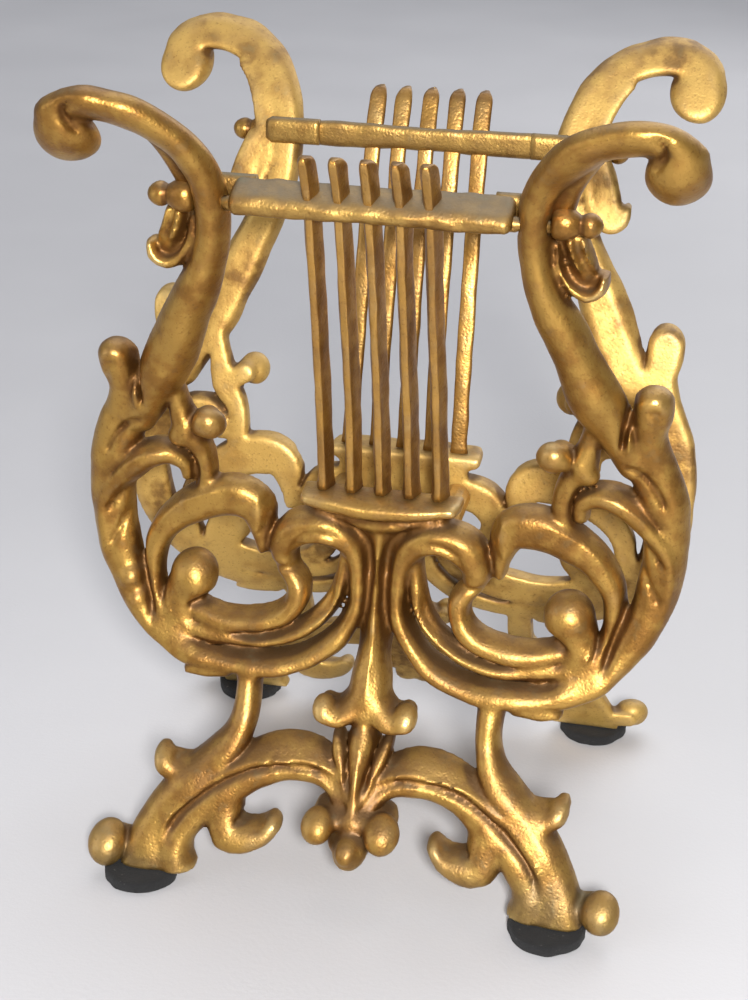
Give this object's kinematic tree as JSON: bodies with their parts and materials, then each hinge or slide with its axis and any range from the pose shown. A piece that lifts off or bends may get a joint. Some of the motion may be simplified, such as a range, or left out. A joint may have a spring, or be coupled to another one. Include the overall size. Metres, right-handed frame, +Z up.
{
  "type": "double lyre paper rack",
  "caption": "Free-standing rack of two openwork cast brass lyres set back to back and joined at the waist, with crossbars, flat strings and felt-padded feet; papers stand between them.",
  "frame": {"origin": "on the floor, under the middle of the rack, halfway between the two castings and halfway across them", "axes": "+Z up, the longest side; +X across, along the crossbars; +Y from the front casting to the rear one, the shortest side"},
  "size_m": [0.1312, 0.1006, 0.1746],
  "materials": {
    "gilt_cast_brass": "antique gilt paint over sand-cast brass, brown in the recesses and rubbed bright on the ridges",
    "gilt_crossbar_brass": "antique gilt, hammered along the front edge and dusty on top",
    "gilt_string_brass": "darker antique gilt, rubbed bright along the front edge",
    "gilt_bead_brass": "polished antique gilt on small turned beads",
    "plain_brass": "plain satin brass, seldom seen",
    "black_felt": "black linty felt"
  },
  "bodies": {
    "root": {"front_lyre_casting": "gilt_cast_brass", "front_yoke_bar": "gilt_crossbar_brass", "front_string_1": "gilt_string_brass", "front_string_2": "gilt_string_brass", "front_string_3": "gilt_string_brass", "front_string_4": "gilt_string_brass", "front_string_5": "gilt_string_brass", "front_left_finial": "gilt_bead_brass", "front_right_finial": "gilt_bead_brass", "front_left_felt_pad": "black_felt", "front_right_felt_pad": "black_felt", "rear_lyre_casting": "gilt_cast_brass", "rear_yoke_bar": "gilt_crossbar_brass", "rear_string_1": "gilt_string_brass", "rear_string_2": "gilt_string_brass", "rear_string_3": "gilt_string_brass", "rear_string_4": "gilt_string_brass", "rear_string_5": "gilt_string_brass", "rear_left_finial": "gilt_bead_brass", "rear_right_finial": "gilt_bead_brass", "rear_left_felt_pad": "black_felt", "rear_right_felt_pad": "black_felt", "left_waist_post": "plain_brass", "right_waist_post": "plain_brass"}
  },
  "joints": []
}
